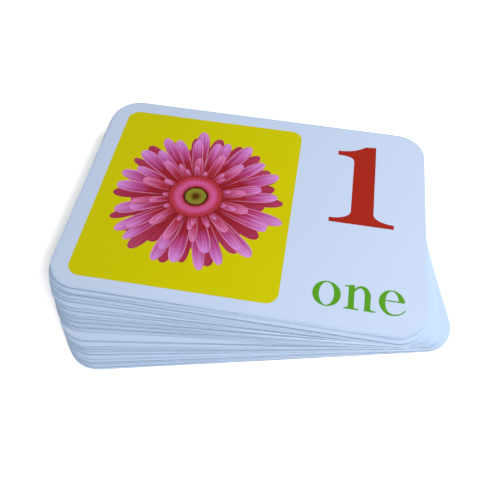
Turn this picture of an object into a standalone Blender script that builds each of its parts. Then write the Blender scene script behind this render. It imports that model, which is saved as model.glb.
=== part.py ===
"""Flash card deck: loose laminated cards in a stack, partly fanned about an upright axis near one end.

Units are metres, +Z is up. The origin is at the middle of the bottom card's underside, and +X runs
along the top card's long edge. Card 1 lies on top, and the cards count up towards the table.
"""

import math

import bmesh
import bpy

# Card blank
CARD_LENGTH = 0.140
CARD_WIDTH = 0.1016
CARD_THICKNESS = 0.00036
CORNER_RADIUS = 0.012
CORNER_STEPS = 10

# Air left between a card and the one under it
AIR_GAP = 0.000055

# Fan axis, as it stands on every card
FAN_AXIS_FROM_RIGHT_EDGE = 0.0156
FAN_AXIS_BEHIND_MIDDLE = 0.01015

# The cards lie in packets, counted from the top: how many cards each has, how far its first card is turned
# about the fan axis, anticlockwise from above, and how far the packet is slid towards the reader
PACKET_SIZES = (1, 1, 1, 2, 2, 7, 1, 4, 5)
PACKET_TURNS_DEG = (0.0, 1.1, 0.0, 0.6, 2.3, 4.0, 8.3, 9.5, 11.5)
PACKET_SLIDES = (-0.0010, -0.0013, 0.0010, 0.0015, 0.0013, 0.0004, 0.0002, -0.0002, 0.0)

# Turn from card to card within a packet
CARD_TURN_DEG = 0.38

# Loose cards stand out and back in a small wave, counted up from the bottom card
CARD_JOG = 0.00015
JOG_STEP_DEG = 156.5

# Laminated white board
BOARD_COLOUR = (0.58, 0.69, 0.86, 1.0)
BOARD_ROUGHNESS = 0.35
BOARD_METALLIC = 0.0

CARD_PITCH = CARD_THICKNESS + AIR_GAP
FAN_AXIS_ON_CARD = (CARD_LENGTH / 2 - FAN_AXIS_FROM_RIGHT_EDGE, FAN_AXIS_BEHIND_MIDDLE)


def clear_scene():
    """Remove every object that the file starts with."""
    for item in list(bpy.data.objects):
        bpy.data.objects.remove(item, do_unlink=True)


def make_board():
    """The one finish of every card: white board under a clear film."""
    board = bpy.data.materials.new("laminated_board")
    board.use_nodes = True
    shader = board.node_tree.nodes["Principled BSDF"]
    shader.inputs["Base Color"].default_value = BOARD_COLOUR
    shader.inputs["Roughness"].default_value = BOARD_ROUGHNESS
    shader.inputs["Metallic"].default_value = BOARD_METALLIC
    return board


def make_card_blank(board):
    """A die-cut card, with the fan axis at its mesh origin and its underside at height 0."""
    bm = bmesh.new()
    bmesh.ops.create_cube(bm, size=1.0)
    bmesh.ops.scale(bm, vec=(CARD_LENGTH, CARD_WIDTH, CARD_THICKNESS), verts=bm.verts)
    upright = [edge for edge in bm.edges if edge.verts[0].co.z * edge.verts[1].co.z < 0]
    bmesh.ops.bevel(
        bm, geom=upright, offset=CORNER_RADIUS, segments=CORNER_STEPS, profile=0.5, affect="EDGES"
    )
    axis_x, axis_y = FAN_AXIS_ON_CARD
    bmesh.ops.translate(bm, vec=(-axis_x, -axis_y, CARD_THICKNESS / 2), verts=bm.verts)
    blank = bpy.data.meshes.new("card_blank")
    bm.to_mesh(blank)
    bm.free()
    blank.materials.append(board)
    return blank


def card_places():
    """Each card's turn about the fan axis in radians and its slide towards the reader, from the top card down."""
    places = []
    cards_under = sum(PACKET_SIZES)
    for size, packet_turn, packet_slide in zip(PACKET_SIZES, PACKET_TURNS_DEG, PACKET_SLIDES):
        for place in range(size):
            cards_under -= 1
            turn = math.radians(packet_turn + place * CARD_TURN_DEG)
            jog = CARD_JOG * math.sin(math.radians(cards_under * JOG_STEP_DEG))
            places.append((turn, packet_slide + jog))
    return places


def make_fan_axis(bottom_turn, bottom_slide):
    """An empty on the fan axis, placed so that the bottom card's middle lies over the origin."""
    axis_x, axis_y = FAN_AXIS_ON_CARD
    axis_y += bottom_slide
    fan_axis = bpy.data.objects.new("fan_axis", None)
    fan_axis.location = (
        axis_x * math.cos(bottom_turn) - axis_y * math.sin(bottom_turn),
        axis_x * math.sin(bottom_turn) + axis_y * math.cos(bottom_turn),
        0.0,
    )
    bpy.context.scene.collection.objects.link(fan_axis)
    return fan_axis


def build():
    """Stack the cards on the fan axis, the highest number at the bottom."""
    clear_scene()
    blank = make_card_blank(make_board())
    places = card_places()
    fan_axis = make_fan_axis(*places[-1])
    for number, (turn, slide) in enumerate(places, start=1):
        cards_under = len(places) - number
        card = bpy.data.objects.new(f"card_{number:02d}", blank)
        card.parent = fan_axis
        card.location = (slide * math.sin(turn), -slide * math.cos(turn), cards_under * CARD_PITCH)
        card.rotation_euler = (0.0, 0.0, turn)
        bpy.context.scene.collection.objects.link(card)


build()
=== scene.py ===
"""Looks of a deck of number flash cards: board, film and inks, printed faces, studio light and camera.

Each card lies where the frame has its node. Print sizes are in millimetres on a card's face, with x along
its long edge and y away from the reader, counted from the card's middle.
"""

import logging
import math
import random
from dataclasses import dataclass, field, replace
from enum import Enum, IntEnum

import bmesh
import bpy
import numpy as np
from mathutils import Matrix, Vector
from mathutils.geometry import delaunay_2d_cdt


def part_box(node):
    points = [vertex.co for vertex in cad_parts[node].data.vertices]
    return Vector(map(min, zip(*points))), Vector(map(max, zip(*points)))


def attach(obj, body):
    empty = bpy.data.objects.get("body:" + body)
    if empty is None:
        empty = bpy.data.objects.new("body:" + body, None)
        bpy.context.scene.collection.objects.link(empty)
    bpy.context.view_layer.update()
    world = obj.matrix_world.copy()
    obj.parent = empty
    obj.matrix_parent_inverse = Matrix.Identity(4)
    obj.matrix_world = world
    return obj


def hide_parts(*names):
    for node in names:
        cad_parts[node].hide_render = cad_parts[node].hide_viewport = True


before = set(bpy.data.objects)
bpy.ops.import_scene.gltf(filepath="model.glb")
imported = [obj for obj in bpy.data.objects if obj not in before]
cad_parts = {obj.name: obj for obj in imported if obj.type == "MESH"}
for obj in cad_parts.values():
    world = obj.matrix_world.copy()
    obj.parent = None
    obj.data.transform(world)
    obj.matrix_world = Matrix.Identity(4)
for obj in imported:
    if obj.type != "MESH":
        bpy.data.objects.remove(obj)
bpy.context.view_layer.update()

LOG = logging.getLogger("flash_card_deck")
MM = 0.001
CURVE_STEPS = 8

Point = tuple[float, float]
Triple = tuple[float, float, float]
Patch = list[Point]
Colour = tuple[float, float, float, float]
ColourRun = tuple[Colour, ...]
Socket = bpy.types.NodeSocket
Material = bpy.types.Material

WHITE: Colour = (1.0, 1.0, 1.0, 1.0)


def paint(red: int, green: int, blue: int) -> Colour:
    """Turn a colour as a screen shows it into the linear values that a shader takes.

    Args:
        red: Red from 0 to 255.
        green: Green from 0 to 255.
        blue: Blue from 0 to 255.

    Returns:
        The linear colour, with full alpha.
    """
    linear = []
    for value in (red, green, blue):
        share = value / 255
        linear.append(share / 12.92 if share <= 0.04045 else ((share + 0.055) / 1.055) ** 2.4)
    return (linear[0], linear[1], linear[2], 1.0)


def shaded(colour: Colour, factor: float) -> Colour:
    """Return a colour made lighter or darker by a factor, held at white."""
    red, green, blue = (min(1.0, channel * factor) for channel in colour[:3])
    return (red, green, blue, 1.0)


def arc(middle: Point, reach: Point, start: float, end: float, steps: int = CURVE_STEPS) -> Patch:
    """Points along an upright ellipse.

    Args:
        middle: The ellipse's middle.
        reach: Its half width and half height.
        start: First angle in degrees, anticlockwise from +x.
        end: Last angle in degrees.
        steps: Number of straight runs between the two.

    Returns:
        The points in order, both ends included.
    """
    points = []
    for step in range(steps + 1):
        angle = math.radians(start + (end - start) * step / steps)
        points.append((middle[0] + reach[0] * math.cos(angle), middle[1] + reach[1] * math.sin(angle)))
    return points


def circle(middle: Point, radius: float, sides: int) -> Patch:
    """Points round a circle."""
    return arc(middle, (radius, radius), 0, 360, sides)[:-1]


def bend(first: Point, pull: Point, last: Point) -> Patch:
    """Points along a curve.

    Args:
        first: Where it starts.
        pull: The place that it leaves and arrives towards.
        last: Where it ends.

    Returns:
        The points in order, both ends included.
    """
    points = []
    for step in range(CURVE_STEPS + 1):
        t = step / CURVE_STEPS
        a, b, c = (1 - t) ** 2, 2 * t * (1 - t), t**2
        points.append((a * first[0] + b * pull[0] + c * last[0], a * first[1] + b * pull[1] + c * last[1]))
    return points


def rounded_box(middle: Point, half: Point, radius: float, steps: int) -> Patch:
    """Give the outline of a box with round corners.

    Args:
        middle: The box's middle.
        half: How far the middles of its corners' arcs lie from there.
        radius: The corners' radius.
        steps: Number of straight runs round a corner.

    Returns:
        The outline, anticlockwise.
    """
    points: Patch = []
    for quarter, (right, back) in enumerate(((1, 1), (-1, 1), (-1, -1), (1, -1))):
        corner = (middle[0] + right * half[0], middle[1] + back * half[1])
        points += arc(corner, (radius, radius), 90 * quarter, 90 * quarter + 90, steps)
    return points


def put_in_scene(name: str, data: bpy.types.ID) -> bpy.types.Object:
    """Make an object and put it in the scene.

    Args:
        name: Its name.
        data: Its mesh, lamp or camera.

    Returns:
        The object.
    """
    item = bpy.data.objects.new(name, data)
    bpy.context.scene.collection.objects.link(item)
    return item


@dataclass(frozen=True)
class Fade:
    """A smooth change of a value, from before its start to after its end."""

    start: float
    end: float
    before: float = 0.0
    after: float = 1.0


class NodeBench:
    """Wires up the nodes of one material or world."""

    NOISE_MIDDLE = 0.5
    NOISE_RANGE = (0.3, 0.7)

    def __init__(self, owner: Material | bpy.types.World, shader: str = "Principled BSDF") -> None:
        """Take up a new material or world.

        Args:
            owner: What the nodes belong to.
            shader: The name of the shader node that it starts with.
        """
        owner.use_nodes = True
        self.owner = owner
        self.tree = owner.node_tree
        self.shader = self.tree.nodes[shader]

    def feed(self, socket: Socket, value: object) -> None:
        """Link a socket to another node's output, or set its own value.

        Args:
            socket: The input.
            value: What it gets.
        """
        if isinstance(value, Socket):
            self.tree.links.new(value, socket)
        else:
            socket.default_value = value

    def fill(self, node: bpy.types.Node, sockets: dict[str, object]) -> None:
        """Feed a node's inputs, which are named with _ for a space."""
        for name, value in sockets.items():
            self.feed(node.inputs[name.replace("_", " ")], value)

    def add(self, kind: str, **sockets: object) -> bpy.types.Node:
        """Add a node and fill its inputs.

        Args:
            kind: The node's type name.
            **sockets: Input names, with _ for a space, and what each gets.

        Returns:
            The new node.
        """
        node = self.tree.nodes.new(kind)
        self.fill(node, sockets)
        return node

    def finish(self, **sockets: object) -> Material | bpy.types.World:
        """Fill the shader's inputs, named with _ for a space, and hand the material or world over."""
        self.fill(self.shader, sockets)
        return self.owner

    def place(self, stretch: Triple = (1.0, 1.0, 1.0)) -> Socket:
        """Give the piece's own coordinates.

        Args:
            stretch: A factor for each axis.

        Returns:
            The coordinates.
        """
        coordinates = self.add("ShaderNodeTexCoord")
        mapping = self.add("ShaderNodeMapping", Vector=coordinates.outputs["Object"], Scale=stretch)
        return mapping.outputs["Vector"]

    def marks(self) -> tuple[Socket, Socket]:
        """Read a printed shape's own frame.

        Returns:
            The across and the along value.
        """
        uv = self.add("ShaderNodeUVMap")
        uv.uv_map = PrintSheet.MARKS
        parts = self.add("ShaderNodeSeparateXYZ", Vector=uv.outputs["UV"])
        return parts.outputs["X"], parts.outputs["Y"]

    def radius(self, across: Socket, along: Socket) -> Socket:
        """Give the distance from a round shape's middle, as a share of its reach."""
        squares = self.sum("ADD", self.sum("POWER", across, 2.0), self.sum("POWER", along, 2.0))
        return self.sum("SQRT", squares)

    def stored(self, name: str) -> Socket:
        """Read a value that the mesh stores.

        Args:
            name: The name it is stored under.

        Returns:
            The value.
        """
        attribute = self.add("ShaderNodeAttribute")
        attribute.attribute_name = name
        return attribute.outputs["Fac"]

    def seen(self) -> Socket:
        """Tell the rays that make up the picture from those that carry light.

        Returns:
            1 for camera, glossy and transmission rays, and 0 for others.
        """
        path = self.add("ShaderNodeLightPath")
        seen = path.outputs["Is Camera Ray"]
        for ray in ("Is Glossy Ray", "Is Transmission Ray"):
            seen = self.sum("MAXIMUM", seen, path.outputs[ray])
        return seen

    def noise(self, scale: float, detail: float = 2.0, vector: Socket | None = None) -> Socket:
        """Give cloudy values round one half, read at a vector or else at the piece's own coordinates."""
        node = self.add("ShaderNodeTexNoise", Vector=vector or self.place(), Scale=scale, Detail=detail)
        return node.outputs["Fac"]

    def sum(self, kind: str, first: object, second: object = 0.0) -> Socket:
        """Give the result of one Math node.

        Args:
            kind: The operation's name.
            first: A number or an output.
            second: A number or an output.

        Returns:
            The result.
        """
        node = self.add("ShaderNodeMath")
        node.operation = kind
        self.feed(node.inputs[0], first)
        self.feed(node.inputs[1], second)
        return node.outputs["Value"]

    def product(self, first: object, *others: object) -> Socket:
        """Multiply numbers and outputs.

        Args:
            first: A number or an output.
            *others: More of them.

        Returns:
            The product.
        """
        for other in others:
            first = self.sum("MULTIPLY", first, other)
        return first

    def span(
        self, value: object, low: object, high: object, to_low: object = 0.0, to_high: object = 1.0
    ) -> Socket:
        """Map a value's range smoothly onto another and hold it there.

        Args:
            value: The value.
            low: Where its range starts.
            high: Where its range ends.
            to_low: The result at the start.
            to_high: The result at the end.

        Returns:
            The result.
        """
        node = self.add(
            "ShaderNodeMapRange", Value=value, From_Min=low, From_Max=high, To_Min=to_low, To_Max=to_high
        )
        node.interpolation_type = "SMOOTHSTEP"
        return node.outputs["Result"]

    def fade(self, value: object, fade: Fade) -> Socket:
        """Follow a fade along a value."""
        return self.span(value, fade.start, fade.end, fade.before, fade.after)

    def spread(self, pattern: Socket, low: float, high: float) -> Socket:
        """Spread a noise pattern, which mostly keeps near one half, over a range."""
        return self.span(pattern, *self.NOISE_RANGE, low, high)

    def mix(self, share: object, first: object, second: object) -> Socket:
        """Mix two colours.

        Args:
            share: How much of the second there is, from 0 to 1.
            first: A colour or an output.
            second: A colour or an output.

        Returns:
            The mixed colour.
        """
        node = self.add("ShaderNodeMix")
        node.data_type = "RGBA"
        sockets = {socket.identifier: socket for socket in node.inputs}
        for name, value in (("Factor_Float", share), ("A_Color", first), ("B_Color", second)):
            self.feed(sockets[name], value)
        return next(socket for socket in node.outputs if socket.identifier == "Result_Color")

    def ramp(self, value: object, stops: tuple[tuple[float, Colour], ...]) -> Socket:
        """Give a colour from a row of stops.

        Args:
            value: Where to read the row, from 0 to 1.
            stops: Places and colours, in order.

        Returns:
            The colour there.
        """
        node = self.add("ShaderNodeValToRGB", Fac=value)
        row = node.color_ramp.elements
        while len(row) < len(stops):
            row.new(1.0)
        for element, (position, colour) in zip(row, stops):
            element.position = position
            element.color = colour
        return node.outputs["Color"]

    def bump(self, height: Socket, strength: float, depth_mm: float) -> Socket:
        """Give a normal that follows a height pattern of some depth."""
        node = self.add("ShaderNodeBump", Height=height, Strength=strength, Distance=depth_mm * MM)
        return node.outputs["Normal"]


@dataclass(frozen=True)
class SatinFilm:
    """The clear satin film over board and ink: its gloss and its fine orange peel."""

    roughness: Point = (0.36, 0.46)
    scuff_scale: float = 70.0
    scuff_detail: float = 4.0
    peel_scale: float = 1500.0
    peel_strength: float = 0.05
    peel_depth_mm: float = 0.02
    gloss: float = 0.05

    def finish(self, bench: NodeBench, colour: Socket) -> Material:
        """Put the film over a colour.

        Args:
            bench: The material's nodes.
            colour: What lies under the film.

        Returns:
            The finished material.
        """
        scuffs = bench.noise(self.scuff_scale, self.scuff_detail)
        return bench.finish(
            Base_Color=colour,
            Roughness=bench.spread(scuffs, *self.roughness),
            Specular_IOR_Level=self.gloss,
            Normal=bench.bump(bench.noise(self.peel_scale), self.peel_strength, self.peel_depth_mm),
        )


@dataclass(frozen=True)
class Finish:
    """One material of the deck."""

    name: str
    FILM = SatinFilm()

    def build(self) -> Material:
        """Make the material, or give the one already made under this name."""
        made = bpy.data.materials.get(self.name)
        return made or self.wire(NodeBench(bpy.data.materials.new(self.name)))

    def wire(self, bench: NodeBench) -> Material:
        """Wire up the material's nodes and give the material."""
        raise NotImplementedError


@dataclass(frozen=True)
class FilmedColour(Finish):
    """One colour of board or ink under the film, with a slow cloud and a fine grain in it."""

    colour: Colour
    cloud: float = 0.025
    grain: float = 0.03
    CLOUD_SCALE = 28.0
    CLOUD_DETAIL = 3.0
    GRAIN_SCALE = 2600.0
    GRAIN_SHADE = 0.5
    SPECKS = Fade(0.35, 0.75)

    def clouded(self, bench: NodeBench, specks: Socket) -> Socket:
        """Put the cloud and the grain into the colour.

        Args:
            bench: The material's nodes.
            specks: The grain's pattern, which darkens the colour a little.

        Returns:
            The uneven colour.
        """
        cloud = bench.noise(self.CLOUD_SCALE, self.CLOUD_DETAIL)
        slow = bench.mix(cloud, shaded(self.colour, 1 - self.cloud), shaded(self.colour, 1 + self.cloud))
        return bench.mix(bench.product(specks, self.grain), slow, shaded(self.colour, self.GRAIN_SHADE))

    def wire(self, bench: NodeBench) -> Material:
        """Wire up the colour under the film."""
        specks = bench.fade(bench.noise(self.GRAIN_SCALE), self.SPECKS)
        return self.FILM.finish(bench, self.clouded(bench, specks))


@dataclass(frozen=True)
class BoardFilm(FilmedColour):
    """White board under the film, a little darker and bluer near the card's rim as painted shade."""

    name: str = "white_board_film"
    colour: Colour = paint(202, 218, 245)
    cloud: float = 0.012
    grain: float = 0.012
    # Colour of the painted shade in the band near the rim, for the shaded strips of cards under others.
    rim: Colour = paint(190, 212, 240)

    def wire(self, bench: NodeBench) -> Material:
        """Wire up the board and its rim under the film."""
        board = self.clouded(bench, bench.noise(self.GRAIN_SCALE))
        # Painted shade: the board turns towards the rim colour near the card's rim.
        return self.FILM.finish(bench, bench.mix(bench.stored(CardBlank.NEAR_RIM), board, self.rim))


@dataclass(frozen=True)
class CutEdge(Finish):
    """The bare board that a die cut shows: matt and fibrous, with a painted shadow along its foot.

    The painted shadow stands in for the shaded gap under the card above. The tone runs from dark at 0 to pale
    at 1, and each card has one at its left end and one at its right. The dark tones are partly painted shade,
    for edges set back in the shadow of the cards above and for left ends that get less light, and partly tone
    that differs at random. The painted shadow's values are given for the left end and the right end, as
    shares of the edge's height. It is bold on dark edges and faint on pale ones.
    """

    name: str = "cut_board_edge"
    pale: Colour = paint(253, 255, 255)
    dark: Colour = paint(152, 194, 242)
    # Colour of the painted shadow along the edge's foot.
    seam: Colour = paint(16, 36, 72)
    to_right: Fade = Fade(0.1, 0.65)
    back_to_left: Fade = Fade(0.93, 0.99, 1.0, 0.0)
    seam_start: Point = (0.26, 0.6)
    seam_end: Point = (0.42, 0.8)
    faint_seam: Point = (0.45, 0.0)
    bold_below: float = 0.3
    faint_above: float = 0.6
    streak_shade: float = 0.85
    run_scale: float = 60.0
    roughness: Point = (0.75, 0.92)
    fibre_stretch: Triple = (500.0, 500.0, 9000.0)
    fibre_detail: float = 3.0
    fibre_strength: float = 0.3
    fibre_depth_mm: float = 0.03

    def wire(self, bench: NodeBench) -> Material:
        """Wire up the board's fibres, its tone and its seam.

        Args:
            bench: The material's nodes.

        Returns:
            The finished material.
        """
        fibres = bench.noise(1.0, self.fibre_detail, bench.place(self.fibre_stretch))
        runs = bench.noise(self.run_scale)
        streaks = bench.product(*(bench.spread(lines, self.streak_shade, 1.0) for lines in (fibres, runs)))
        # The edge tone, blended from the card's left end to its right, is partly painted shade, partly random
        # tone.
        place = bench.stored(CardBlank.ALONG)
        along = bench.product(bench.fade(place, self.to_right), bench.fade(place, self.back_to_left))
        left = bench.product(bench.sum("SUBTRACT", 1.0, along), bench.stored(CardBlank.LEFT_TONE))
        tone = bench.sum("ADD", left, bench.product(along, bench.stored(CardBlank.RIGHT_TONE)))
        board = bench.mix(bench.product(streaks, tone), self.dark, self.pale)
        start, end, faint = (
            bench.span(along, 0.0, 1.0, *ends) for ends in (self.seam_start, self.seam_end, self.faint_seam)
        )
        # Painted shadow along the foot of each edge, standing in for the shaded gap under the card above.
        seam = bench.product(
            bench.span(bench.stored(CardBlank.RISE), start, end, 1.0, 0.0),
            bench.span(tone, self.bold_below, self.faint_above, 1.0, faint),
        )
        return bench.finish(
            Base_Color=bench.mix(seam, board, self.seam),
            Roughness=bench.spread(fibres, *self.roughness),
            Normal=bench.bump(fibres, self.fibre_strength, self.fibre_depth_mm),
        )


@dataclass(frozen=True)
class PetalInk(Finish):
    """The printed petals: dark at the root, pale at the tip, streaked along their length, with a light rim.

    A petal's tone runs from 0 for the dark back petals over one half for the rosy ones to 1 for the lilac
    ones. Each of these has its colours in order from root to tip.
    """

    name: str = "petal_ink"
    dark: ColourRun = (paint(132, 22, 26), paint(150, 34, 46), paint(160, 42, 66), paint(172, 54, 88))
    rosy: ColourRun = (paint(150, 34, 36), paint(172, 48, 66), paint(198, 78, 124), paint(226, 126, 182))
    lilac: ColourRun = (paint(142, 28, 32), paint(158, 34, 52), paint(188, 72, 144), paint(216, 142, 224))
    groove: Colour = paint(136, 24, 34)
    gleam: Colour = paint(232, 166, 236)
    rim: Colour = paint(234, 150, 200)
    STOPS = (0.05, 0.45, 0.68, 0.95)
    TO_ROSY = Fade(0.0, 0.5)
    TO_LILAC = Fade(0.5, 1.0)
    PAST_TIP = 1.001
    STREAKS_ACROSS = 5.0
    STREAKS_ALONG = 1.2
    STREAKS_BY_TONE = 61.0
    GROOVES = Fade(0.3, 0.52, 0.5, 0.0)
    SHADED_SIDE = Fade(0.3, 1.0, 0.0, 0.4)
    GLEAMS = Fade(0.5, 0.7, 0.0, 0.6)
    GLEAM_ALONG = Fade(0.4, 0.9)
    GLEAM_BY_TONE = Fade(0.2, 0.6)
    RIM_ACROSS = Fade(0.78, 0.94, 0.0, 0.68)
    RIM_ALONG = Fade(0.12, 0.5)
    RIM_BY_TONE = Fade(0.2, 0.5, 0.1, 1.0)
    DARK_SHARES = (0.22, 0.28, 0.34, 0.42)
    ROSY_SHARES = (0.34, 0.5, 0.76, 1.1)
    LILAC_SHARES = (0.32, 0.46, 0.86, 1.3)
    GROOVE_SHARE = 0.34
    GLEAM_SHARE = 1.6
    RIM_SHARE = 1.4

    @classmethod
    def tinted(cls, name: str, colour: Colour) -> "PetalInk":
        """Give the ink in another colour.

        Args:
            name: The material's name.
            colour: The petals' main colour.

        Returns:
            The ink, with the same run from root to tip.
        """
        return cls(
            name=name,
            dark=tuple(shaded(colour, share) for share in cls.DARK_SHARES),
            rosy=tuple(shaded(colour, share) for share in cls.ROSY_SHARES),
            lilac=tuple(shaded(colour, share) for share in cls.LILAC_SHARES),
            groove=shaded(colour, cls.GROOVE_SHARE),
            gleam=shaded(colour, cls.GLEAM_SHARE),
            rim=shaded(colour, cls.RIM_SHARE),
        )

    def petal_side(self, bench: NodeBench, across: Socket, along: Socket) -> Socket:
        """Find the place across a petal.

        Args:
            bench: The material's nodes.
            across: The petal's across value.
            along: The petal's along value.

        Returns:
            The place as a share of the petal's half width there.
        """
        flare = bench.sum("ADD", bench.product(along, PetalRing.FLARE), 1 - PetalRing.FLARE)
        rounding = bench.sum("SUBTRACT", self.PAST_TIP, bench.sum("POWER", along, PetalRing.ROUNDING))
        return bench.sum("DIVIDE", across, bench.product(flare, bench.sum("SQRT", rounding)))

    def wire(self, bench: NodeBench) -> Material:
        """Wire up the petals' colours, streaks and rims under the film.

        Args:
            bench: The material's nodes.

        Returns:
            The finished material.
        """
        across, along = bench.marks()
        tone = bench.stored(PrintSheet.TONE)
        side = self.petal_side(bench, across, along)
        dark, rosy, lilac = (
            bench.ramp(along, tuple(zip(self.STOPS, run))) for run in (self.dark, self.rosy, self.lilac)
        )
        body = bench.mix(bench.fade(tone, self.TO_ROSY), dark, rosy)
        body = bench.mix(bench.fade(tone, self.TO_LILAC), body, lilac)
        streak_place = bench.add(
            "ShaderNodeCombineXYZ",
            X=bench.product(side, self.STREAKS_ACROSS),
            Y=bench.product(along, self.STREAKS_ALONG),
            Z=bench.product(tone, self.STREAKS_BY_TONE),
        )
        streak = bench.noise(1.0, vector=streak_place.outputs["Vector"])
        body = bench.mix(bench.fade(streak, self.GROOVES), body, self.groove)
        gleam = bench.product(
            bench.fade(streak, self.GLEAMS),
            bench.fade(along, self.GLEAM_ALONG),
            bench.fade(tone, self.GLEAM_BY_TONE),
        )
        body = bench.mix(gleam, body, self.gleam)
        body = bench.mix(bench.fade(side, self.SHADED_SIDE), body, self.groove)
        rim = bench.product(
            bench.fade(bench.sum("ABSOLUTE", side), self.RIM_ACROSS),
            bench.fade(along, self.RIM_ALONG),
            bench.fade(tone, self.RIM_BY_TONE),
        )
        return self.FILM.finish(bench, bench.mix(rim, body, self.rim))


@dataclass(frozen=True)
class HeartInk(Finish):
    """The flower's round heart, in rings from a brown pip to a dark red rim."""

    name: str = "flower_heart_ink"
    pip: Colour = paint(90, 50, 12)
    green: Colour = paint(118, 108, 30)
    lime: Colour = paint(138, 132, 48)
    # The dark ring printed round the heart's green.
    seam: Colour = paint(66, 20, 6)
    blush: Colour = paint(208, 94, 154)
    rose: Colour = paint(200, 76, 124)
    crimson: Colour = paint(178, 54, 68)
    rim: Colour = paint(130, 24, 24)
    scallops: float = 30.0
    scallop_depth: float = 0.01
    grain_scale: float = 800.0
    grain_detail: float = 3.0
    grain_depth: float = 0.08

    def wire(self, bench: NodeBench) -> Material:
        """Wire up the rings, which are scalloped and a little rough, under the film.

        Args:
            bench: The material's nodes.

        Returns:
            The finished material.
        """
        across, along = bench.marks()
        angle = bench.sum("ARCTAN2", across, along)
        wave = bench.sum("SINE", bench.product(angle, self.scallops))
        scallops = bench.product(wave, self.scallop_depth)
        grain = bench.product(bench.noise(self.grain_scale, self.grain_detail), self.grain_depth)
        shift = bench.sum("SUBTRACT", bench.sum("ADD", scallops, grain), self.grain_depth / 2)
        ring = bench.sum("ADD", bench.radius(across, along), shift)
        stops = (
            (0.1, self.pip),
            (0.17, self.green),
            (0.25, self.lime),
            (0.35, self.lime),
            (0.4, self.seam),
            (0.43, self.seam),
            (0.48, self.crimson),
            (0.53, self.rose),
            (0.65, self.blush),
            (0.77, self.rose),
            (0.85, self.crimson),
            (0.94, self.crimson),
            (0.99, self.rim),
        )
        return self.FILM.finish(bench, bench.ramp(ring, stops))


@dataclass(frozen=True)
class SmallHeartInk(Finish):
    """The heart of a small counted flower: a pale middle, a speckled body and a dark rim."""

    colour: Colour
    grain_scale: float = 1400.0
    grain_detail: float = 3.0
    grain_depth: float = 0.3
    shades: tuple[Point, ...] = ((0.1, 1.4), (0.45, 1.0), (0.8, 0.6), (0.96, 0.3))

    def wire(self, bench: NodeBench) -> Material:
        """Wire up the rings under the film.

        Args:
            bench: The material's nodes.

        Returns:
            The finished material.
        """
        specks = bench.noise(self.grain_scale, self.grain_detail)
        grain = bench.sum("SUBTRACT", specks, bench.NOISE_MIDDLE)
        outward = bench.radius(*bench.marks())
        ring = bench.sum("ADD", outward, bench.product(grain, self.grain_depth))
        stops = tuple((place, shaded(self.colour, share)) for place, share in self.shades)
        return self.FILM.finish(bench, bench.ramp(ring, stops))


@dataclass(frozen=True)
class Shape:
    """One printed shape: its outline, its ink and the small frame that its ink is drawn in."""

    outline: Patch
    ink: int
    origin: Point = (0.0, 0.0)
    turn: float = 0.0
    reach: Point = (1.0, 1.0)
    tone: float = 0.5

    def mark(self, point: Vector) -> Point:
        """Find a place in the shape's own frame.

        Args:
            point: The place on the card.

        Returns:
            Its across and along values, as shares of the shape's reach.
        """
        x, y = point.x - self.origin[0], point.y - self.origin[1]
        along = x * math.cos(self.turn) + y * math.sin(self.turn)
        across = y * math.cos(self.turn) - x * math.sin(self.turn)
        return (across / self.reach[0], along / self.reach[1])


class PrintSheet:
    """Gathers the shapes printed on one card's face into one flat mesh, later shapes over earlier ones."""

    MARKS = "print_marks"
    TONE = "print_tone"
    JOIN_MM = 1e-4
    INSIDE_OUTLINES = 1

    def __init__(self) -> None:
        """Start an empty sheet."""
        self.shapes: list[Shape] = []

    def add(self, shape: Shape) -> None:
        """Print a shape over those already there."""
        self.shapes.append(shape)

    def split(self) -> tuple[list[Vector], list[tuple[list[int], Shape]]]:
        """Cut all the outlines into triangles that do not overlap.

        Returns:
            The points, and each triangle with the shape that shows there.
        """
        corners: list[Vector] = []
        loops: list[list[int]] = []
        for shape in self.shapes:
            loops.append(list(range(len(corners), len(corners) + len(shape.outline))))
            corners += [Vector(point) for point in shape.outline]
        cut = delaunay_2d_cdt(corners, [], loops, self.INSIDE_OUTLINES, self.JOIN_MM)
        points, _, faces, _, _, sources = cut
        shown = [(face, self.shapes[max(source)]) for face, source in zip(faces, sources) if source]
        used = sorted({corner for face, _ in shown for corner in face})
        number = {old: new for new, old in enumerate(used)}
        triangles = [([number[corner] for corner in face], shape) for face, shape in shown]
        return [points[old] for old in used], triangles

    def build(self, name: str, inks: list[Material]) -> bpy.types.Object:
        """Make the sheet's mesh.

        Args:
            name: The piece's name.
            inks: The materials that the shapes' ink numbers stand for.

        Returns:
            The new object, with its origin at the card's middle.
        """
        points, shown = self.split()
        mesh = bpy.data.meshes.new(name)
        flat = [(point.x * MM, point.y * MM, 0.0) for point in points]
        mesh.from_pydata(flat, [], [face for face, _ in shown])
        for ink in inks:
            mesh.materials.append(ink)
        mesh.polygons.foreach_set("material_index", [shape.ink for _, shape in shown])
        marks = [shape.mark(points[corner]) for face, shape in shown for corner in face]
        layer = mesh.uv_layers.new(name=self.MARKS)
        layer.data.foreach_set("uv", [value for mark in marks for value in mark])
        tones = mesh.attributes.new(self.TONE, "FLOAT", "FACE")
        tones.data.foreach_set("value", [shape.tone for _, shape in shown])
        mesh.update()
        return put_in_scene(name, mesh)


@dataclass(frozen=True)
class Bar:
    """A straight stroke with level ends, given by the middles of its ends and its level width."""

    low: Point
    high: Point
    width: float

    def patches(self) -> list[Patch]:
        """Draw the stroke's outline.

        Returns:
            The outline.
        """
        half = self.width / 2
        (x0, y0), (x1, y1) = self.low, self.high
        return [[(x0 - half, y0), (x0 + half, y0), (x1 + half, y1), (x1 - half, y1)]]


@dataclass(frozen=True)
class Slab:
    """A level stroke from left to right between two heights."""

    left: float
    right: float
    low: float
    high: float

    def patches(self) -> list[Patch]:
        """Give the stroke's outline."""
        foot = [(self.left, self.low), (self.right, self.low)]
        return [foot + [(self.right, self.high), (self.left, self.high)]]


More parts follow.
